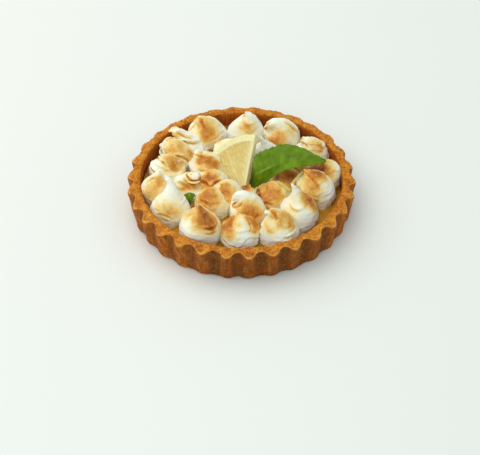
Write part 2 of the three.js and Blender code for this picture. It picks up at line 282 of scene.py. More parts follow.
def addFloor():
    reach = studio["floorReach"] * mm
    corners = [(-reach, -reach, 0), (reach, -reach, 0), (reach, reach, 0), (-reach, reach, 0)]
    floorMesh = bpy.data.meshes.new("floor")
    floorMesh.from_pydata(corners, [], [(0, 1, 2, 3)])
    values = {"Roughness": studio["floorRoughness"], "Base Color": paint(*studio["floorColour"])}
    floorMesh.materials.append(Recipe("studioFloor", values).material)
    floor = bpy.data.objects.new("floor", floorMesh)
    bpy.context.scene.collection.objects.link(floor)


addStudio()
print("studio ready")


# Pastry case

crust = {
    "lipRadius": 60.3,
    "lipHeight": 17.0,
    "footRadius": 58.1,
    "wallInside": 53.0,
    "crestRadius": 54.5,
    "crestHeight": 18.5,
    "rimSlant": 0.55,
    "floor": 3.5,
    "footRound": 0.7,
    "rimRound": 1.2,
    "flutes": 30,
    "fluteDepth": 2.6,
    "fluteAtFoot": 0.5,
    "fluteSharpness": 0.8,
    "grooveAt": -92.0,
    "shadedSideAt": -75.0,  # the middle of the painted shade on the wall's side away from the light
    "columns": 940,
    "swell": 0.55,  # heights of the relief and sizes of what it is made of, from slow to fine
    "swellSize": 4.2,
    "pits": 0.65,
    "pitSize": 2.1,
    "crumb": 0.55,
    "crumbSizes": (1.7, 0.9),
    "grit": 0.22,
    "gritSize": 0.7,
    "rimColours": [(0.36, (172, 86, 8)), (0.5, (214, 130, 22)), (0.64, (240, 172, 62))],
    "wallColours": [(0.3, (112, 51, 9)), (0.5, (161, 86, 19)), (0.72, (208, 127, 42))],
    "crumbColours": [(0.3, (104, 42, 4)), (0.45, (178, 94, 12)), (0.58, (222, 144, 42)),
                     (0.72, (250, 204, 116))],
    # painted shade for the wall's side away from the light
    "shadedSideColour": (84, 38, 8),
    # painted shade for the flute grooves
    "grooveShadeColour": (72, 32, 8),
    "bakedColour": (168, 68, 10),
    # a painted highlight along the rim's lip
    "lipHighlightColour": (248, 190, 104),
    "insideColour": (170, 84, 20),
    "speckColour": (86, 36, 8),
}


def crustSection():  # rows of radius, height, share of the flutes and share of the relief
    foot, soft, low = crust["footRadius"], crust["footRound"], crust["fluteAtFoot"]
    lip, lipHeight, bevel = crust["lipRadius"], crust["lipHeight"], crust["rimRound"]
    inside, top = crust["wallInside"], crust["crestHeight"]
    corners = [  # each also with the spacing of the rows near it
        (3.0, 0.0, 0.0, 0.0, 12.0),
        (foot - 6, 0.0, 0.6 * low, 0.0, 3.0),
        (foot - soft, 0.0, low, 0.3, 0.4),
        (foot, soft, low, 0.5, 0.42),
        ((foot + lip) / 2, lipHeight / 2, (low + 1) / 2, 0.45, 0.42),
        (lip, lipHeight - bevel, 1.0, 0.6, 0.36),
        (lip - 0.6 * bevel, lipHeight, 1.0, 1.0, 0.3),
        (crust["crestRadius"], top, 0.0, 1.0, 0.33),
        (inside + 0.4 * bevel, top - 0.4 * bevel, 0.0, 1.0, 0.33),
        (inside, top - 1.3 * bevel, 0.0, 0.8, 0.4),
        (inside, crust["floor"] + 6, 0.0, 0.5, 0.8),
        (inside, crust["floor"], 0.0, 0.2, 3.0),
        (3.0, crust["floor"], 0.0, 0.0, 14.0),
    ]
    rows = []
    for a, b in zip(corners, corners[1:]):
        count = max(1, round(math.hypot(b[0] - a[0], b[1] - a[1]) / ((a[4] + b[4]) / 2)))
        rows += [[a[k] + (b[k] - a[k]) * i / count for k in range(4)] for i in range(count)]
    rows = np.array(rows + [list(corners[-1][:4])])
    for _ in range(2):  # rounds the corners
        rows[1:-1] = (rows[:-2] + 2 * rows[1:-1] + rows[2:]) / 4
    return rows


def fluteAt(angle):  # 1 in a groove, 0 on a lobe
    wander = 0.012 * np.sin(5 * angle + 1) + 0.008 * np.sin(13 * angle + 2)
    wave = np.cos(crust["flutes"] * (angle + wander * 0.6 - math.radians(crust["grooveAt"])))
    return 0.5 + 0.5 * np.sign(wave) * np.abs(wave) ** crust["fluteSharpness"]


def pastryMaterial():
    recipe = Recipe("bakedPastry", {"Specular IOR Level": 0.2})
    crumbs = recipe.noise(1.2, detail=4, rough=0.75)
    specks = recipe.noise(0.8, rough=0.65)
    streaks = recipe.noise(2.2, rough=0.6, place=recipe.stretched(1, 1, 0.3))
    top = recipe.mark("top")
    rim = recipe.ramp(recipe.noise(3.2, detail=4, rough=0.65), crust["rimColours"])
    wall = recipe.ramp(streaks, crust["wallColours"])
    # painted shade: the wall's side away from the light is darkened
    shadedSide = recipe.band(recipe.mark("shadedSide"), 0.0, 1.0, top=0.55)
    wall = recipe.blend(shadedSide, wall, paint(*crust["shadedSideColour"]))
    # painted shade in the flute grooves, deeper on the shaded side
    groove = recipe.band(recipe.mark("groove"), 0.2, 1.0, top=0.8)
    wall = recipe.blend(groove, wall, paint(*crust["grooveShadeColour"]))
    colour = recipe.blend(top, wall, rim)
    crumbly = recipe.band(top, 0.0, 1.0, bottom=0.2, top=0.55)
    colour = recipe.blend(crumbly, colour, recipe.ramp(crumbs, crust["crumbColours"]))
    baked = recipe.band(recipe.noise(6, rough=0.6), 0.54, 0.68, top=0.5)
    colour = recipe.blend(baked, colour, paint(*crust["bakedColour"]))
    # painted highlight along the rim's outer edge, where it turns down
    colour = recipe.blend(recipe.mark("lip"), colour, paint(*crust["lipHighlightColour"]))
    colour = recipe.blend(recipe.mark("inside"), colour, paint(*crust["insideColour"]))
    speckled = recipe.band(specks, 0.58, 0.7, top=0.65)
    colour = recipe.blend(speckled, colour, paint(*crust["speckColour"]))
    rough = recipe.band(crumbs, 0.3, 0.7, bottom=0.9, top=0.6)
    coarse = recipe.bump(crumbs, depth=0.45, strength=0.8)
    normal = recipe.bump(specks, depth=0.2, strength=0.8, under=coarse)
    return recipe.finish({"Base Color": colour, "Roughness": rough, "Normal": normal})


def addCase():
    rows = crustSection()
    columns = crust["columns"]
    angle = np.linspace(0, 2 * math.pi, columns, endpoint=False)
    flute = fluteAt(angle)
    share = rows[:, 2:3]
    inset = share * crust["fluteDepth"] * flute
    out = rows[:, 0:1] - inset
    level = rows[:, 1:2]
    atRim = smoothStep(level, crust["lipHeight"] - crust["rimRound"], crust["lipHeight"])
    rise = level + crust["rimSlant"] * inset * atRim
    points = asPoints(out * np.cos(angle), out * np.sin(angle), rise)
    faces = gridFaces(len(rows), columns, True)
    normals = surfaceNormals(points, faces)
    rough = np.repeat(rows[:, 3], columns)
    isRim = np.clip(rough * 2 - 1, 0, 1)
    coarse, fine = crust["crumbSizes"]
    crumb = grains(points, coarse, 3) * 0.55 + grains(points, fine, 8) * 0.45 - 0.55
    pulled = points * (1, 1, 0.35)  # the press of the tin draws the crumb of the walls out upwards
    relief = crust["swell"] * lumps(points, crust["swellSize"], 1)
    relief += crust["crumb"] * crumb * (0.3 + 0.7 * isRim)
    relief += crust["grit"] * lumps(points, crust["gritSize"], 2)
    relief += 0.5 * crust["grit"] * lumps(pulled, fine, 5) * (1 - isRim)
    relief -= crust["pits"] * smoothStep(lumps(points, crust["pitSize"], 7), 0.36, 0.6)
    points += normals * (relief * rough)[:, None]
    points[:, 2] = np.maximum(points[:, 2], 0)
    middle = [(0, 0, 0), (0, 0, crust["floor"])]
    last = len(points) - columns
    faces = faces.tolist() + capFaces(0, columns, len(points), False)
    faces += capFaces(last, columns, len(points) + 1, True)
    inward = np.repeat(smoothStep(rows[:, 0], crust["wallInside"] + 0.6, crust["wallInside"]), columns)
    height = np.repeat(rows[:, 1], columns)
    top = smoothStep(normals[:, 2], 0.25, 0.75) * (height > 10)
    outer = np.repeat(smoothStep(rows[:, 0], crust["crestRadius"], crust["crestRadius"] + 2), columns)
    # painted shade, strongest on the wall's side away from the light
    shadedSide = smoothStep(np.cos(angle - math.radians(crust["shadedSideAt"])), 0.6, 1.0) * np.ones_like(share)
    # painted shade in the grooves, stronger on the side away from the light
    groove = (share > 0.35) * flute * (0.68 + 0.32 * shadedSide)
    # painted highlight where the rim's top turns down to the side
    lip = np.exp(-((normals[:, 2] - 0.66) / 0.2) ** 2) * (height > 12) * outer
    lip *= 0.62 + 0.4 * lumps(points, 2.5, 9)
    marks = {"groove": groove.ravel(), "shadedSide": shadedSide.ravel(), "top": top, "lip": lip,
             "inside": inward * 0.7}
    marks = {mark: np.append(values, [0, 0]) for mark, values in marks.items()}
    makePiece("pastry_case", np.vstack([points, middle]), faces, pastryMaterial(), marks)


addCase()
print("pastry case baked")


# Lemon curd

curd = {
    "top": 10.0,
    "under": 4.2,
    "radius": 52.9,
    "rows": 70,
    "columns": 240,
    "ripple": 0.22,
    "rippleSizes": (11, 3),
    "colours": [(0.3, (174, 120, 24)), (0.7, (210, 158, 44))],
    "fleckColour": (232, 188, 78),
}


def curdMaterial():
    recipe = Recipe("lemonCurd", {"Specular IOR Level": 0.25, "Subsurface Weight": 0.25,
                                  "Subsurface Radius": (0.003, 0.0015, 0.0004)})
    clouds = recipe.noise(9.0)
    flecks = recipe.noise(0.8)
    colour = recipe.ramp(clouds, curd["colours"])
    colour = recipe.blend(recipe.band(flecks, 0.62, 0.75, top=0.5), colour, paint(*curd["fleckColour"]))
    rough = recipe.band(clouds, 0.3, 0.7, bottom=0.25, top=0.45)
    normal = recipe.bump(flecks, depth=0.08, strength=0.4)
    return recipe.finish({"Base Color": colour, "Roughness": rough, "Normal": normal})


def addCurd():
    radius = np.append(np.linspace(0.6, curd["radius"] - 0.8, curd["rows"] - 3),
                       [curd["radius"] - 0.3, curd["radius"], curd["radius"]])
    height = np.append(np.full(curd["rows"] - 2, curd["top"]), [curd["top"] - 0.4, curd["under"]])
    angle = np.linspace(0, 2 * math.pi, curd["columns"], endpoint=False)
    points = asPoints(radius[:, None] * np.cos(angle), radius[:, None] * np.sin(angle), height[:, None])
    slow, quick = curd["rippleSizes"]
    ripple = curd["ripple"] * (lumps(points, slow, 4) + 0.5 * lumps(points, quick, 6))
    points[:-curd["columns"], 2] += ripple[:-curd["columns"]]
    faces = gridFaces(curd["rows"], curd["columns"], True)[:, ::-1].tolist()
    count = len(points)
    faces += capFaces(0, curd["columns"], count, True)
    faces += capFaces(count - curd["columns"], curd["columns"], count + 1, False)
    ends = [(0, 0, curd["top"]), (0, 0, curd["under"])]
    makePiece("lemon_curd", np.vstack([points, ends]), faces, curdMaterial())


addCurd()
print("curd poured")


# Mint

mintLeaf = {
    "node": "mint_leaf",
    "upperEdge": [(5.1, -4.7, 22), (5.9, -0.9, 26), (6.4, 2.9, 29), (9.2, 5.9, 30), (15, 9.3, 30),
                  (22.5, 13.1, 29.5), (31.4, 11.7, 28.5), (38.2, 7.6, 27.5), (44.2, 4.3, 25.5)],
    "midrib": [(5.5, -5, 21.5), (11.8, -3.6, 25.5), (18, -2, 27.5), (25.4, -0.1, 28.3), (34.8, 1.8, 28),
               (44.4, 3.8, 25.5)],
    "lowerEdge": [(5.2, -5.6, 21), (4.1, -6, 18.5), (6.1, -6.6, 15), (9.3, -5.3, 15.5), (12.3, -5.4, 18),
                  (18.1, -5.5, 24), (26.3, -4.3, 26.5), (35.2, -2.2, 27), (42.2, 0.8, 26.3), (44.3, 3, 25.4)],
    "rows": 220,
    "columns": 81,
    "teeth": 15,
    "toothDepth": 0.9,
    "veins": 8.5,
    "veinSweep": 2.6,
    "quilt": 0.42,
    "thickness": 0.5,
    "baseAt": (4.6, -5.3, 20.0),  # the middle of the painted shade near the leaf's base, and how far it reaches, in mm
    "baseReach": 7.5,
}
mintSprig = {
    "node": "mint_sprig",
    "upperEdge": [(-27.7, -12.9, 18), (-30, -13.6, 17), (-28.9, -15, 15.5), (-27.7, -16.9, 13)],
    "midrib": [(-26.9, -12.9, 18), (-27, -14.4, 17.3), (-27, -15.8, 15.7), (-27.1, -17, 13)],
    "lowerEdge": [(-26.1, -12.9, 18), (-23.9, -13.2, 17), (-25, -15, 15.5), (-26.5, -16.9, 13)],
    "rows": 50,
    "columns": 31,
    "teeth": 4,
    "toothDepth": 0.2,
    "veins": 4.0,
    "veinSweep": 1.2,
    "quilt": 0.12,
    "thickness": 0.4,
    "baseAt": (-27.1, -17.0, 13.0),
    "baseReach": 3.0,
}
mintColours = {
    "blade": [(0.3, (84, 116, 0)), (0.55, (104, 138, 0)), (0.75, (124, 154, 6))],
    "vein": (150, 176, 50),
    "cell": (78, 100, 0),
    # painted shade near the base of each leaf
    "base": (46, 58, 0),
    "rib": (172, 194, 100),
}


def mintMaterial():
    recipe = Recipe("mintLeaf", {"Roughness": 0.5, "Specular IOR Level": 0.2})
    cells = recipe.noise(0.5, rough=0.6)
    colour = recipe.ramp(recipe.noise(5.0), mintColours["blade"])
    vein = recipe.band(recipe.mark("vein"), 0.25, 1.0, top=0.1)
    colour = recipe.blend(vein, colour, paint(*mintColours["vein"]))
    colour = recipe.blend(recipe.band(cells, 0.35, 0.65, top=0.3), colour, paint(*mintColours["cell"]))
    # painted shade over the part of the leaf near its base
    colour = recipe.blend(recipe.mark("base"), colour, paint(*mintColours["base"]))
    colour = recipe.blend(recipe.mark("rib"), colour, paint(*mintColours["rib"]))
    normal = recipe.bump(cells, depth=0.12, strength=0.5)
    return recipe.finish({"Base Color": colour, "Normal": normal})


def leafSurface(leaf):  # the middle of the leaf as a grid, with its veins and quilting
    along = np.linspace(0, 1, leaf["rows"])
    across = np.linspace(-1, 1, leaf["columns"])
    upper, rib, lower = (alongLine(leaf[line], along) for line in ("upperEdge", "midrib", "lowerEdge"))
    saw = 1 - (along * leaf["teeth"]) % 1  # each tooth points to the tip
    tooth = leaf["toothDepth"] * saw * np.sin(math.pi * along) ** 0.5
    grid = np.zeros((leaf["rows"], leaf["columns"], 3))
    for j, side in enumerate(across):
        edge = upper if side < 0 else lower
        width = np.maximum(np.linalg.norm(edge - rib, axis=1), 1e-6)
        nearEdge = smoothStep(abs(side), 0.7, 1.0)
        share = abs(side) * (1 - np.clip(tooth / width, 0, 0.4) * nearEdge)
        grid[:, j] = rib + (edge - rib) * share[:, None]
    phase = along[:, None] * leaf["veins"] - np.abs(across) * leaf["veinSweep"] * 0.5
    distance = np.abs((phase + 0.5) % 1 - 0.5)
    strength = smoothStep(np.abs(across), 1.0, 0.75) * smoothStep(np.abs(across), 0.0, 0.06)
    vein = np.exp(-(distance / 0.07) ** 2) * strength
    nearRib = np.exp(-(across / 0.05) ** 2)
    ribMark = nearRib * smoothStep(along[:, None], 0.5, 0.1) * np.ones_like(vein)
    pillow = np.sin(math.pi * (phase % 1)) ** 0.6 * (1 - np.abs(across) ** 3) - 0.5
    return grid, leaf["quilt"] * (pillow - 0.5 * nearRib), vein, ribMark


def addLeaf(leaf, material):
    grid, quilt, vein, ribMark = leafSurface(leaf)
    rows, columns = leaf["rows"], leaf["columns"]
    points = grid.reshape(-1, 3)
    normals = surfaceNormals(points, gridFaces(rows, columns, False))
    ripple = quilt.ravel() + 0.25 * lumps(points, 5, 12) + 0.1 * lumps(points, 1.6, 14)
    points = points + normals * ripple[:, None]
    normals = surfaceNormals(points, gridFaces(rows, columns, False))
    across = np.abs(np.tile(np.linspace(-1, 1, columns), rows))
    thick = leaf["thickness"] / 2 * (1 - 0.6 * smoothStep(across, 0.85, 1.0))
    both = np.vstack([points + normals * thick[:, None], points - normals * thick[:, None]])
    # painted shade, darkest at baseAt and fading out over baseReach
    fromBase = np.linalg.norm((points - leaf["baseAt"]) * (2, 1, 0.6), axis=1) / leaf["baseReach"]
    base = smoothStep(fromBase, 1.0, 0.2)
    marks = {"vein": vein.ravel(), "rib": ribMark.ravel() * 0.8, "base": base * 0.9}
    marks = {mark: np.tile(values, 2) for mark, values in marks.items()}
    makePiece(leaf["node"], both, sheetFaces(rows, columns), material, marks)
    return BVHTree.FromPolygons(points.tolist(), gridFaces(rows, columns, False).tolist())


mint = mintMaterial()
leafShelter = addLeaf(mintLeaf, mint)
addLeaf(mintSprig, mint)
print("mint laid on")


# Candied zest

zest = {
    "strips": {
        "zest_left": [(18.4, -9.6, 22), (21.6, -10.8, 21.4), (25, -12.6, 18.8)],
        "zest_right": [(32.3, -1.2, 22), (29.5, -5, 22), (25.8, -9.6, 20)],
    },
    "width": 2.9,
    "thickness": 0.7,
    "rows": 60,
    "columns": 13,
    "flesh": [(0.3, (214, 202, 110)), (0.55, (236, 226, 150)), (0.75, (248, 242, 190))],
    "peel": (222, 208, 118),
}


def zestMaterial():
    recipe = Recipe("candiedZest", {"Roughness": 0.28, "Subsurface Weight": 0.35,
                                    "Subsurface Radius": (0.0012, 0.0012, 0.0004)})
    pores = recipe.noise(0.9)
    colour = recipe.blend(recipe.mark("peel"), recipe.ramp(pores, zest["flesh"]), paint(*zest["peel"]))
    normal = recipe.bump(pores, depth=0.1, strength=0.5)
    return recipe.finish({"Base Color": colour, "Normal": normal})


def addZest():
    material = zestMaterial()
    for node, strip in zest["strips"].items():
        start, bend, end = np.array(strip, float)
        t = np.linspace(0, 1, zest["rows"])[:, None]
        line = (1 - t) ** 2 * start + 2 * t * (1 - t) * bend + t * t * end
        way = np.gradient(line, axis=0)
        way /= np.linalg.norm(way, axis=1, keepdims=True)
        side = np.cross(way, (0, 0, 1))
        side /= np.linalg.norm(side, axis=1, keepdims=True)
        face = np.cross(side, way)
        across = np.linspace(-1, 1, zest["columns"])
        wide = zest["width"] / 2 * across[None, :, None]
        middle = line[:, None] + face[:, None] * wide
        taper = np.sqrt(np.clip(1 - across ** 4, 0.05, 1)) * np.ones((zest["rows"], 1))
        half = (zest["thickness"] / 2 * taper)[..., None] * side[:, None]
        both = np.vstack([(middle + half).reshape(-1, 3), (middle - half).reshape(-1, 3)])
        both += 0.08 * lumps(both, 1.4, 21)[:, None]
        count = zest["rows"] * zest["columns"]
        marks = {"peel": np.append(np.full(count, 0.7), np.zeros(count))}
        makePiece(node, both, sheetFaces(zest["rows"], zest["columns"]), material, marks)


addZest()
print("zest scattered")


# Lemon wedge

lemon = {
    "radius": 33.0,
    "angle": 60.0,
    "thickness": 3.2,
    "point": (1.4, -7.6, 11.5),
    "tilt": 44.0,
    "facing": -138.0,
    "turn": 98.0,
    "peel": 0.9,
    "pith": 2.8,
    "membranes": ((-30.0, 2.6, 1.0), (6.0, 0.35, 0.4), (-21.0, 0.35, 0.3)),  # angle, width and strength
    "rows": 190,
    "columns": 170,
    "soft": 0.5,
    "hollow": 0.35,  # how far the flesh lies below the pith
    "sacs": 0.2,
    "sacLength": 4.6,
    "sacsAround": 17,  # to a radian
    "fleshColours": [(0.1, (219, 195, 120)), (0.5, (228, 208, 140)), (0.9, (237, 222, 162))],
    "cloudColour": (226, 200, 110),
    "ripeColour": (216, 180, 84),
    "pithColours": [(0.3, (232, 222, 164)), (0.7, (244, 238, 194))],
    "peelColours": [(0.3, (236, 229, 146)), (0.7, (246, 242, 184))],
}


def lemonLean():  # turns the flat slice to where it leans
    around = math.radians(lemon["facing"])
    facing = Vector((math.cos(around), math.sin(around), 0))
    lean = Quaternion(-facing.cross(up), math.radians(lemon["tilt"]))
    return lean @ Quaternion(up, math.radians(lemon["turn"]))


def lemonMaterial():
    recipe = Recipe("lemonSlice", {"Subsurface Weight": 0.75, "Subsurface Radius": (0.006, 0.005, 0.002)})
    isPith = recipe.mark("pith")
    flesh = recipe.ramp(recipe.mark("sac"), lemon["fleshColours"])
    cloudy = recipe.band(recipe.noise(5, detail=2), 0.4, 0.7, top=0.35)
    flesh = recipe.blend(cloudy, flesh, paint(*lemon["cloudColour"]))
    ripe = recipe.sum("MULTIPLY", recipe.mark("ripe"), 0.45)
    flesh = recipe.blend(ripe, flesh, paint(*lemon["ripeColour"]))
    pith = recipe.ramp(recipe.noise(1.2), lemon["pithColours"])
    peel = recipe.ramp(recipe.noise(0.9), lemon["peelColours"])
    colour = recipe.blend(recipe.mark("peel"), recipe.blend(isPith, flesh, pith), peel)
    rough = recipe.sum("MULTIPLY_ADD", isPith, 0.3, 0.22)
    normal = recipe.bump(recipe.noise(0.5), depth=0.08, strength=0.4)
    return recipe.finish({"Base Color": colour, "Roughness": rough, "Normal": normal})


def addLemon():
    half = math.radians(lemon["angle"] / 2)
    swing = np.linspace(-half, half, lemon["columns"])
    # rows are closest together at the peel, where the colour changes
    reach = lemon["radius"] * np.linspace(0.02, 1, lemon["rows"]) ** 0.8
    radius, angle = (grid.ravel() for grid in np.meshgrid(reach, swing, indexing="ij"))
    flat = asPoints(radius * np.cos(angle), radius * np.sin(angle), 0.0)
    side = radius * np.sin(half - np.abs(angle))  # distance to the nearest cut
    edge = np.minimum(side, lemon["radius"] - radius)
    rounding = lemon["soft"] * (1 - np.sqrt(1 - (1 - np.clip(edge / lemon["soft"], 0, 1)) ** 2))
    membrane = np.max([strength * np.exp(-(radius * np.sin(angle - math.radians(turn)) / width) ** 2)
                       for turn, width, strength in lemon["membranes"]], axis=0)
    around = angle * lemon["sacsAround"] + 0.25 * np.sin(radius)
    fibre = asPoints(radius / lemon["sacLength"], around, 0.0)
    near = np.array([noise.voronoi(Vector(p))[0][:2] for p in fibre])
    sac = np.clip((near[:, 1] - near[:, 0]) * 2.4, 0, 1) * (0.75 + 0.25 * lumps(fibre, 0.8, 3))
    peelFrom = lemon["radius"] - lemon["peel"]
    pithFrom = peelFrom - lemon["pith"]
    peel = smoothStep(radius, peelFrom - 0.3, lemon["radius"] - 0.3)
    core = 0.7 * smoothStep(radius, 4.0, 1.0)
    pith = np.clip(smoothStep(radius, pithFrom - 0.5, pithFrom + 0.5) + membrane + core, 0, 1)
    relief = (lemon["sacs"] * sac - lemon["hollow"]) * (1 - pith) + 0.12 * lumps(flat, 2.2, 31) - rounding
    top, under = flat.copy(), flat.copy()
    top[:, 2] = relief
    under[:, 2] = -lemon["thickness"] - relief
    turn = np.array(lemonLean().to_matrix())
    both = np.vstack([top, under]) @ turn.T + np.array(lemon["point"])
    ripe = smoothStep(radius, 0.5 * lemon["radius"], 0.85 * lemon["radius"])
    marks = {"sac": sac, "pith": pith, "peel": peel, "ripe": ripe}
    marks = {mark: np.tile(values, 2) for mark, values in marks.items()}
    faces = sheetFaces(lemon["rows"], lemon["columns"])
    makePiece("lemon_wedge", both, faces, lemonMaterial(), marks)


addLemon()
print("lemon leant in")


# Meringue kisses

# How wide a kiss is, as a share of its radius, from its foot to its tip
forms = {
    "peak": [(0, 0.89), (0.08, 0.99), (0.18, 1), (0.32, 0.93), (0.47, 0.73), (0.62, 0.46), (0.76, 0.27),
             (0.89, 0.16), (1, 0.07)],
    "spire": [(0, 0.89), (0.08, 0.99), (0.18, 0.98), (0.31, 0.84), (0.45, 0.56), (0.6, 0.34), (0.74, 0.21),
              (0.88, 0.13), (1, 0.06)],
    "dome": [(0, 0.89), (0.08, 0.99), (0.2, 1), (0.37, 0.95), (0.53, 0.83), (0.68, 0.62), (0.82, 0.38),
             (0.93, 0.2), (1, 0.08)],
    "cone": [(0, 0.89), (0.08, 0.98), (0.2, 0.97), (0.36, 0.84), (0.52, 0.66), (0.68, 0.47), (0.82, 0.3),
             (0.93, 0.18), (1, 0.09)],
    "slump": [(0, 0.89), (0.06, 0.99), (0.15, 1), (0.28, 0.95), (0.42, 0.83), (0.56, 0.69), (0.7, 0.54),
              (0.85, 0.38), (1, 0.17)],
    "hook": [(0, 0.89), (0.05, 0.99), (0.12, 1), (0.21, 0.96), (0.3, 0.8), (0.39, 0.58), (0.49, 0.4),
             (0.64, 0.28), (0.84, 0.2), (1, 0.09)],
    "curl": [(0, 0.89), (0.06, 0.99), (0.14, 0.98), (0.23, 0.87), (0.32, 0.69), (0.42, 0.51), (0.54, 0.39),
             (0.68, 0.3), (0.85, 0.21), (1, 0.1)],
    "knob": [(0, 0.89), (0.1, 0.99), (0.24, 1), (0.4, 0.9), (0.54, 0.68), (0.66, 0.47), (0.78, 0.36),
             (0.87, 0.49), (0.96, 0.49), (1, 0.4)],
}
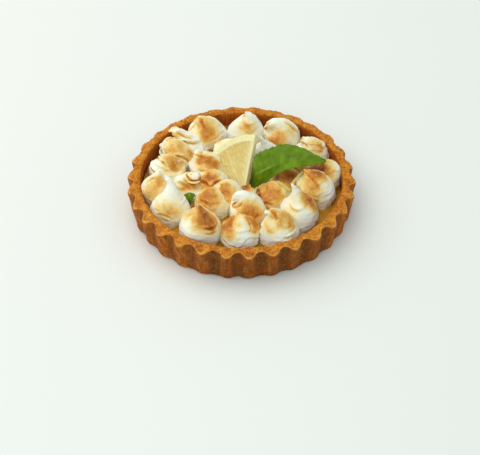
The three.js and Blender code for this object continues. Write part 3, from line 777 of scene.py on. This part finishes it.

# at, radius, tip, end and rise: where it stands, its radius, where its tip is from the middle of its
# foot, the way the tip points at its end, and how high it rises before it bends over, all as in the
# imported solids. toast: where the torch caught it, and on kiss 13 also painted shadow of the
# mint leaf, as the way round and the way up from its middle in degrees, the size in mm and the depth.
# creases: folds of the piping from one such way to another, with how far they bow in mm and how deep
# they are; their hollows get painted shade.
kisses = [
    dict(at=(-0.5, -38.3), radius=10.3, tip=(-4, 3, 13.2), end=(-1, 0.3, 1), form="dome",
         toast=[(165, 44, 5.2, 0.6), (-164, 26, 3.7, 0.4), (-117, 27, 3.2, 0.35), (5, 23, 4.7, 0.66),
                (47, 9, 2.6, 0.4)],
         creases=[(126, 11, 79, 71, 0.8, 0.5), (21, 58, -45, 21, 1, 0.35)]),
    dict(at=(19.3, -38.2), radius=10, tip=(-7.8, 0.6, 17.2), end=(-1, -0.2, 0.1), form="cone",
         toast=[(-119, 83, 2.6, 0.42), (127, 72, 1.6, 0.3), (-46, 64, 3.2, 0.3), (9, 43, 4.2, 0.46),
                (-18, 24, 2.6, 0.36), (-159, 40, 2.6, 0.34), (-119, 27, 2.1, 0.32), (-82, 47, 3.2, 0.18)],
         creases=[(143, 68, -80, 56, 1.6, 0.7), (-59, 4, -7, -1, -0.6, 0.7), (-70, -8, -29, -8, -0.5, 0.5)]),
    dict(at=(-21, -35.8), radius=10.8, tip=(-0.2, 1.4, 19.5), end=(0, 0.5, 1), form="dome",
         toast=[(-28, 68, 5.8, 0.54), (46, 87, 2.6, 0.5), (-78, 46, 4.7, 0.5), (-35, 32, 3.2, 0.55),
                (163, 41, 3.7, 0.35), (-49, 16, 1.6, 0.4)],
         creases=[(-75, 25, -23, 16, -0.8, 0.7), (-71, 10, -30, 1, -0.6, 0.6),
                  (-165, 87, -66, 32, 1.2, 0.35)]),
    dict(at=(29.9, -25.4), radius=9.9, tip=(-4.2, 1.3, 24), end=(-0.3, 0, 1), form="peak",
         toast=[(2, 53, 4.7, 0.6), (-6, 17, 3.7, 0.55), (167, 74, 1.1, 0.2), (-128, 4, 4.7, 0.2)],
         creases=[(-142, 36, -83, 23, -0.8, 0.4)]),
    dict(at=(-37, -21.5), radius=9.8, tip=(-2.4, 7.4, 21), end=(-1.2, 0.4, 1), form="spire",
         toast=[(-105, 6, 5.2, 0.33), (-58, -1, 4.2, 0.26)],
         creases=[(-120, -10, -78, -16, 0.6, 0.35)]),
    dict(at=(39.7, -7.3), radius=9.7, tip=(-7.4, 2.4, 17), end=(-1, 0.6, 0.7), form="dome",
         toast=[(-126, 57, 6.3, 0.33), (-86, 40, 3.7, 0.16), (-95, 4, 4.2, 0.4), (-179, 63, 2.6, 0.3),
                (-26, 86, 3.2, 0.55), (-10, 63, 3.2, 0.55), (-35, -28, 1.1, 1)],
         creases=[(-148, 18, -80, -6, -1, 0.7), (-159, 66, -69, 28, 1, 0.4)]),
    dict(at=(3.4, -23.1), radius=9.8, tip=(-8, -0.5, 12), end=(-0.7, -0.4, -0.9), form="curl", rise=17,
         toast=[(-62, 42, 4.7, 0.52), (-91, 30, 3.7, 0.4), (-45, 20, 3.2, 0.4), (-170, 49, 1.2, 0.9),
                (-168, 4, 1.6, 0.6)],
         creases=[(-162, 36, -100, 67, -1, 0.7), (-74, 2, -36, 28, -0.8, 0.4)]),
    dict(at=(-14.8, -15.6), radius=9.3, tip=(-0.8, 0, 13.5), end=(0, 0, 1), form="dome",
         toast=[(-120, 52, 7.4, 0.58), (170, 44, 3.2, 0.3)],
         creases=[(-152, 18, -94, 12, 0.8, 0.5)]),
    dict(at=(16.5, -11.2), radius=9.3, tip=(-4.2, 0.3, 12), end=(-1, 0, 0.6), form="dome",
         toast=[(-113, 58, 7.9, 0.5), (-122, 17, 4.2, 0.35), (-59, 30, 3.2, 0.35), (-154, 11, 1.6, 1.3),
                (169, 12, 1.5, 0.9)],
         creases=[(-135, -5, -80, 7, 0.8, 0.5), (151, 20, -123, 20, -0.8, 0.4)]),
    dict(at=(-7.8, -10.6), radius=9.2, tip=(-3, -0.6, 13), end=(-1, 0, 0.8), form="dome",
         toast=[(-110, 58, 5.2, 0.58), (-57, 29, 3.2, 0.3)],
         creases=[(138, -14, -74, 8, 0.8, 0.6)]),
    dict(at=(-43.6, -7.3), radius=9.2, tip=(1, 3, 16), end=(0.3, 0.5, 1), form="dome",
         toast=[(-112, 24, 6.3, 0.36), (-71, 62, 3.2, 0.42)],
         creases=[(-156, 36, -87, 70, 0.8, 0.4)]),
    dict(at=(-28.1, -1), radius=9.4, tip=(2.5, 0.1, 10), end=(0, 0, 1), form="knob",
         toast=[(5, 77, 0.6, 0.45), (-126, 56, 2.1, 0.3), (-57, 21, 2.6, 0.5), (-112, 13, 2.6, 0.5)],
         creases=[(-160, 17, -82, 9, 0.8, 0.6)]),
    # kiss 13: its patches on the left, under the leaf, are partly toast and partly painted shadow of the leaf
    dict(at=(43.9, 5.3), radius=9.2, tip=(-1, 0.5, 14.5), end=(-0.6, 0, 1), form="dome",
         toast=[(-169, 23, 8.4, 0.7), (-126, 38, 6.3, 0.55)]),
    dict(at=(4, -5.5), radius=8, tip=(-1.8, 1, 5.5), end=(0, 0, 1), form="dome",
         toast=[(-157, 52, 4.2, 0.66)]),
    dict(at=(-15.5, -0.2), radius=8.8, tip=(-2.5, -0.5, 11.5), end=(-1, 0, 1), form="dome",
         toast=[(-135, 68, 4.7, 0.62), (-71, 51, 2.6, 0.4), (-116, 10, 3.2, 0.35)],
         creases=[(-156, 22, -91, 13, 1, 0.8), (-91, 13, -29, 26, 1, 0.8)]),
    dict(at=(23.7, 1.3), radius=9, tip=(-1.3, -0.1, 13), end=(0, 0, 1), form="dome",
         toast=[(-113, 56, 6.3, 0.66), (-33, 39, 3.7, 0.6), (-145, 35, 1.1, 0.7)]),
    dict(at=(-39.2, 10.8), radius=10, tip=(5, -0.5, 9), end=(1, -0.3, 0.2), form="slump", rise=8,
         toast=[(-58, 53, 4.7, 0.52), (173, 89, 4.2, 0.3), (38, 17, 1.6, 0.5)],
         creases=[(9, 62, 8, 16, 1, 0.8), (161, 7, -138, 13, -0.8, 0.9), (142, 16, -115, 51, -0.6, 0.7)]),
    dict(at=(-17.3, 12.6), radius=9.2, tip=(-4, 3.1, 11.5), end=(1, -0.3, 0.2), form="peak",
         toast=[(-94, 56, 4.2, 0.5), (-44, 32, 3.2, 0.52), (-147, 47, 2.6, 0.5), (137, 55, 1.1, 0.5),
                (76, 44, 1.1, 0.5)],
         creases=[(-120, 13, -50, -19, 0.8, 0.6), (172, 45, -11, 44, -1, 0.6)]),
    dict(at=(28.5, 16.5), radius=9.2, tip=(-2, 0, 13), end=(-0.5, 0, 1), form="dome",
         toast=[(70, 40, 5, 0.5), (-95, 8, 7, 0.66)]),
    dict(at=(-5, 25), radius=9.4, tip=(-2, -1, 14), end=(0, 0, 1), form="dome",
         toast=[(100, 15, 4.5, 0.5)]),
    dict(at=(13, 20.5), radius=8.8, tip=(-2.5, 0, 17.5), end=(-0.5, 0, 1), form="peak",
         toast=[(60, 20, 4, 0.4)]),
    dict(at=(-34, 22.6), radius=9.3, tip=(-10, 3.5, 6.5), end=(-1, 0.2, -0.3), form="slump", rise=11,
         toast=[(-91, 62, 5.8, 0.38), (-26, 23, 3.2, 0.5), (-33, 58, 3.2, 0.25)],
         creases=[(-75, 36, -36, 1, 1, 0.8), (-172, 58, -119, 42, -0.8, 0.8), (175, 69, 59, 42, -0.8, 0.6)]),
    dict(at=(38.4, 24.2), radius=9.3, tip=(-6, 2.5, 11.5), end=(-1, 0.1, 0.6), form="slump", rise=8,
         toast=[(-36, 51, 5.2, 0.4), (-24, 34, 1.3, 0.4), (166, 58, 1.1, 0.6)],
         creases=[(166, 43, -108, 57, 0.8, 0.6)]),
    dict(at=(-26.4, 31), radius=9, tip=(-12.9, 2.3, 11), end=(-1, 0, -0.6), form="hook", rise=6,
         toast=[(-173, 42, 3.2, 0.35), (177, 40, 1.3, 0.7), (-49, -66, 1.6, 0.3)],
         creases=[(-49, -66, -24, 2, -0.6, 1), (-177, 38, -27, 19, -0.6, 1), (-170, 58, -33, 45, -0.5, 0.8),
                  (169, 39, -179, 39, 0.6, 0.8)]),
    dict(at=(22.6, 37), radius=9.8, tip=(-9.8, -1.5, 11), end=(-0.6, -0.4, -0.7), form="hook", rise=17,
         toast=[(-92, 36, 4.7, 0.5), (-162, 48, 1.6, 0.5), (-21, 41, 4.2, 0.26)],
         creases=[(-167, 69, -175, -3, -1.4, 0.9), (-3, 71, 0, 13, -1, 0.5)]),
    dict(at=(2.6, 41.9), radius=10.2, tip=(-0.4, -0.2, 18), end=(-0.6, 0, 1), form="cone",
         toast=[(-105, 33, 3.7, 0.3), (-64, 32, 3.2, 0.32), (172, 82, 1.1, 0.4)]),
    dict(at=(-18.5, 39.5), radius=10.4, tip=(-7.8, 0.5, 14), end=(-1, 0.1, 0.3), form="dome",
         toast=[(-75, 62, 5.8, 0.42), (-71, 23, 4.7, 0.48), (167, 62, 1.1, 1), (-115, 75, 1.6, 0.3),
                (180, 32, 2.1, 0.3)],
         creases=[(174, 75, -84, 49, 0.8, 0.6), (179, 58, -165, 19, -0.6, 0.5)]),
]

meringue = {
    "rows": 84,
    "sides": 104,
    "oval": 0.035,
    "rise": 0.5,
    "lean": 0.35,
    "tipRound": 0.14,  # as a share of the radius
    "sink": 0.1,  # how deep a foot stands in the curd, in mm
    "swell": 0.06,  # how high, as a share of the radius, and how large in mm
    "swellSize": 7.5,
    "fold": 0.018,
    "foldSize": 2.6,
    "ruffle": 0.12,
    "ruffleSize": 3.0,
    "ruffleHeight": 8.0,
    "skirt": 1.7,
    "skirtSize": 3.8,
    "skirtHeight": 1.1,
    "lap": 0.55,  # in mm, where one turn of the piping lies over the last
    "lapHeight": 4.2,
    "lapTuck": 0.85,  # the share of a turn after which it goes in under the next
    "rags": 0.28,
    "ragSize": 1.6,
    "creaseDepth": 1.4,  # in mm, for a fold of depth 1
    "creaseWidth": 0.65,
    # how dark the painted shade in the hollows of the folds is
    "creaseShade": 0.48,
    "neckAt": 0.79,  # where painted shade, with some toast, rings the neck and the lip of a knob
    "lipAt": 0.4,
    "ringShadeAndToast": 0.95,
    "backPatches": 2,
    "backAround": (62, 118),  # ways round and up, in degrees
    "backRising": (-8, 26),
    "backSize": (2.8, 4.6),  # in mm
    "backDepth": (0.25, 0.6),
    "leafGap": 0.35,
    "lemonGap": 0.2,
    "behindLemon": (19, 20, 21),
    # toast colours, which also paint the shade in the folds and round knobs
    "toastAndShadeColours": [(0.0, (251, 251, 240)), (0.12, (251, 241, 208)), (0.27, (246, 214, 140)),
                     (0.42, (232, 174, 82)), (0.58, (210, 134, 42)), (0.75, (164, 88, 20)),
                     (1.0, (44, 20, 10))],
}


def meringueMaterial():
    recipe = Recipe("toastedMeringue", {"Specular IOR Level": 0.4, "Subsurface Weight": 0.22,
                                        "Subsurface Radius": (0.0016, 0.0016, 0.0014)})
    # torch browning, with painted shade in fold hollows and round knobs
    toast = recipe.mark("toast")
    blotch = recipe.band(recipe.noise(3.2, detail=4, rough=0.6), 0.25, 0.75, bottom=-0.1, top=0.1)
    fine = recipe.band(recipe.noise(0.6, rough=0.6), 0.3, 0.7, bottom=-0.04, top=0.04)
    wander = recipe.sum("ADD", blotch, fine)
    heat = recipe.sum("MULTIPLY_ADD", wander, recipe.band(toast, 0.02, 0.4, bottom=0.1), toast)
    colour = recipe.ramp(heat, meringue["toastAndShadeColours"])
    rough = recipe.band(toast, 0.1, 0.7, bottom=0.52, top=0.4)
    normal = recipe.bump(recipe.noise(0.45, rough=0.6), depth=0.1, strength=0.35)
    return recipe.finish({"Base Color": colour, "Roughness": rough, "Normal": normal})


def bendAt(knots, t):  # where the middle line of a kiss is at t, and which way it goes there
    foot, low, high, tip = knots
    s = 1 - t
    middle = foot * s ** 3 + low * 3 * s * s * t + high * 3 * s * t * t + tip * t ** 3
    ahead = (low - foot) * s * s + (high - low) * 2 * s * t + (tip - high) * t * t
    return middle, ahead.normalized()


def kissSurface(kiss):
    x, y = kiss["at"]
    foot = Vector((x, y, curd["top"] - meringue["sink"]))
    tip = Vector(kiss["tip"])
    way = Vector(kiss["end"]).normalized()
    form = np.array(forms[kiss["form"]])
    capped = kiss["radius"] * min(form[-1, 1], meringue["tipRound"])  # how far its rounding reaches
    top = Vector((x, y, curd["top"])) + tip - way * capped
    rise = kiss.get("rise", meringue["rise"] * tip.z)
    knots = [foot, foot + up * rise, top - way * meringue["lean"] * tip.z, top]
    ends = np.array([0.3, 0.6, 0.85, 0.97])  # the last rings, which round the tip off
    along = np.append(np.linspace(0, 1, meringue["rows"]) ** 1.15, np.ones(len(ends)))
    share = throughPoints(form[:, 0], form[:, 1], along)
    share[-len(ends):] *= np.sqrt(1 - ends ** 2)
    angle = np.linspace(0, 2 * math.pi, meringue["sides"], endpoint=False)
    oval = 1 + meringue["oval"] * (np.sin(2 * angle + x) + np.sin(3 * angle + y))
    rings = []
    for row, (t, wide) in enumerate(zip(along, share)):
        middle, ahead = bendAt(knots, t)
        if row >= meringue["rows"]:
            middle += way * capped * ends[row - meringue["rows"]]
        turn = up.rotation_difference(ahead).slerp(Quaternion(), min(1, wide * wide))
        reach = kiss["radius"] * wide * oval
        flat = asPoints(reach * np.cos(angle), reach * np.sin(angle), 0.0)
        rings.append(flat @ np.array(turn.to_matrix()).T + np.array(middle))
    return np.array(rings), along, angle


def kissRelief(points, kiss, along, angle):
    seed = kiss["at"][0] + 0.37 * kiss["at"][1]
    radius = kiss["radius"]
    height = points[:, 2] - curd["top"]
    relief = radius * meringue["swell"] * lumps(points, meringue["swellSize"], seed)
    relief += radius * meringue["fold"] * lumps(points * (1, 1, 1.8), meringue["foldSize"], seed + 3)
    wavy = 0.35 + lumps(points * (1, 1, 0.2), meringue["skirtSize"], seed + 11)
    relief += meringue["skirt"] * np.exp(-(height / meringue["skirtHeight"]) ** 2) * wavy
    ragged = 0.15 + 0.55 * crags(points * (1, 1, 1.5), meringue["ruffleSize"], seed)
    relief += radius * meringue["ruffle"] * smoothStep(height, meringue["ruffleHeight"], 0.4) * ragged
    lap = (height / meringue["lapHeight"] + angle / (2 * math.pi) + 1.1 * lumps(points, 7, seed + 5)) % 1
    tuck = meringue["lapTuck"]
    lapped = np.where(lap < tuck, 1 - lap / tuck, (lap - tuck) / (1 - tuck)) - 0.5
    where = smoothStep(lumps(points, 9, seed + 9), -0.25, 0.2) * smoothStep(height, 1, 4)
    relief += meringue["lap"] * lapped * where
    relief += meringue["rags"] * lumps(points, meringue["ragSize"], seed + 7) * smoothStep(along, 0.6, 0.95)
    return relief


def pointThatWay(points, kiss, around, rising):  # which point of the kiss lies that way from its middle
    middle = np.array([*kiss["at"], curd["top"]]) + np.array(kiss["tip"]) * (0.3, 0.3, 0.4)
    ways = points - middle
    ways /= np.linalg.norm(ways, axis=1, keepdims=True)
    around, rising = math.radians(around), math.radians(rising)
    that = (math.cos(around) * math.cos(rising), math.sin(around) * math.cos(rising), math.sin(rising))
    return (ways @ that).argmax()


def toasted(toast, depth):  # more of it on top of what is there, never past 1
    return 1 - (1 - toast) * (1 - depth)


def kissToastAndShade(points, along, kiss):
    toast = np.zeros(len(points))
    for around, rising, size, depth in kiss["toast"] + backToast(kiss):
        away = np.linalg.norm(points - points[pointThatWay(points, kiss, around, rising)], axis=1) / size
        away *= 1 + 0.3 * lumps(points, 4.5, around) + 0.12 * lumps(points, 1.4, rising)
        toast = toasted(toast, depth * np.exp(-0.75 * away ** 2))
    # painted shade, with some toast, round a knob's neck and under its lip
    if kiss["form"] == "knob":
        fromTip = np.linalg.norm(points - points[-1], axis=1) / kiss["radius"]
        neck = np.exp(-((along - meringue["neckAt"]) / 0.05) ** 2)
        lip = np.exp(-((fromTip - meringue["lipAt"]) / 0.045) ** 2)
        toast = toasted(toast, meringue["ringShadeAndToast"] * np.minimum(neck + lip, 1))
    return toast


def backToast(kiss):  # softer patches on the far side, different on each kiss
    dice = random.Random(round(100 * kiss["at"][0] + kiss["at"][1]))
    spans = [meringue[part] for part in ("backAround", "backRising", "backSize", "backDepth")]
    return [tuple(dice.uniform(*span) for span in spans) for _ in range(meringue["backPatches"])]


def kissCreases(points, normals, kiss):  # the depth of its folds, and where their hollows are
    relief, hollow = np.zeros(len(points)), np.zeros(len(points))
    for *ways, bow, depth in kiss.get("creases", []):
        start, end = (pointThatWay(points, kiss, *way) for way in (ways[:2], ways[2:]))
        length = np.linalg.norm(points[end] - points[start])
        ahead = (points[end] - points[start]) / length
        out = normals[start] + normals[end]
        out /= np.linalg.norm(out)
        reach = (points - points[start]) @ ahead / length
        aside = (points - points[start]) @ np.cross(out, ahead) - bow * 4 * reach * (1 - reach)
        aside = aside / meringue["creaseWidth"] + 0.5 * lumps(points, 2.2, depth + bow)
        near = np.abs((points - points[start]) @ out) < 4  # mm, so that the far side has no fold
        share = near * smoothStep(reach, -0.12, 0.12) * smoothStep(reach, 1.12, 0.8)
        groove = np.exp(-aside ** 2) * share
        raised = 0.8 * share * np.exp(-((aside - 1.5) / 1.1) ** 2)  # beside the groove, on one side
        relief += meringue["creaseDepth"] * depth * (raised - groove)
        # these hollows are given painted shade in addKiss
        hollow = np.maximum(hollow, groove * min(1, depth))
    return relief, hollow


def slipUnderLeaf(points):  # what would stand through the leaf is pressed down under it
    gap = mintLeaf["thickness"] / 2 + meringue["leafGap"]
    above = 60  # mm, higher than anything here
    for p in points:
        hit = leafShelter.ray_cast(Vector((p[0], p[1], above)), Vector((0, 0, -1)))[0]
        if hit and p[2] > hit.z - gap:
            p[2] = hit.z - gap


def slipBehindLemon(points):  # and what would stand through the wedge is pressed back behind it
    facing = lemonLean() @ up
    depth = (points - np.array(lemon["point"])) @ np.array(facing)
    over = np.maximum(depth + lemon["thickness"] + meringue["lemonGap"], 0)
    points -= over[:, None] * np.array(facing)


def addKiss(number, kiss, material):
    rings, along, angle = kissSurface(kiss)
    rows, sides = len(along), meringue["sides"]
    points = rings.reshape(-1, 3)
    faces = gridFaces(rows, sides, True)
    normals = surfaceNormals(points, faces)
    relief = kissRelief(points, kiss, np.repeat(along, sides), np.tile(angle, rows))
    folds, hollow = kissCreases(points, normals, kiss)
    points = points + normals * (relief + folds)[:, None]
    if number in meringue["behindLemon"]:
        slipBehindLemon(points)
    slipUnderLeaf(points)
    points[:, 2] = np.maximum(points[:, 2], curd["top"] - meringue["sink"])
    toast = kissToastAndShade(points, np.repeat(along, sides), kiss)
    # painted shade in the hollows of the folds, in the toast colours
    toast = toasted(toast, meringue["creaseShade"] * hollow)
    count = len(points)
    faces = faces.tolist() + capFaces(0, sides, count, False)
    faces += capFaces(count - sides, sides, count + 1, True)
    points = np.vstack([points, points[:sides].mean(0), points[-sides:].mean(0)])
    marks = {"toast": np.append(toast, [toast[:sides].mean(), toast[-sides:].mean()])}
    makePiece(f"kiss_{number:02d}", points, faces, material, marks)


toastedMeringue = meringueMaterial()
for number, kiss in enumerate(kisses, 1):
    addKiss(number, kiss, toastedMeringue)
print("kisses piped and toasted")


# A box's corners, as lists
def corners(box):
    return [list(corner) for corner in box]


print("done")
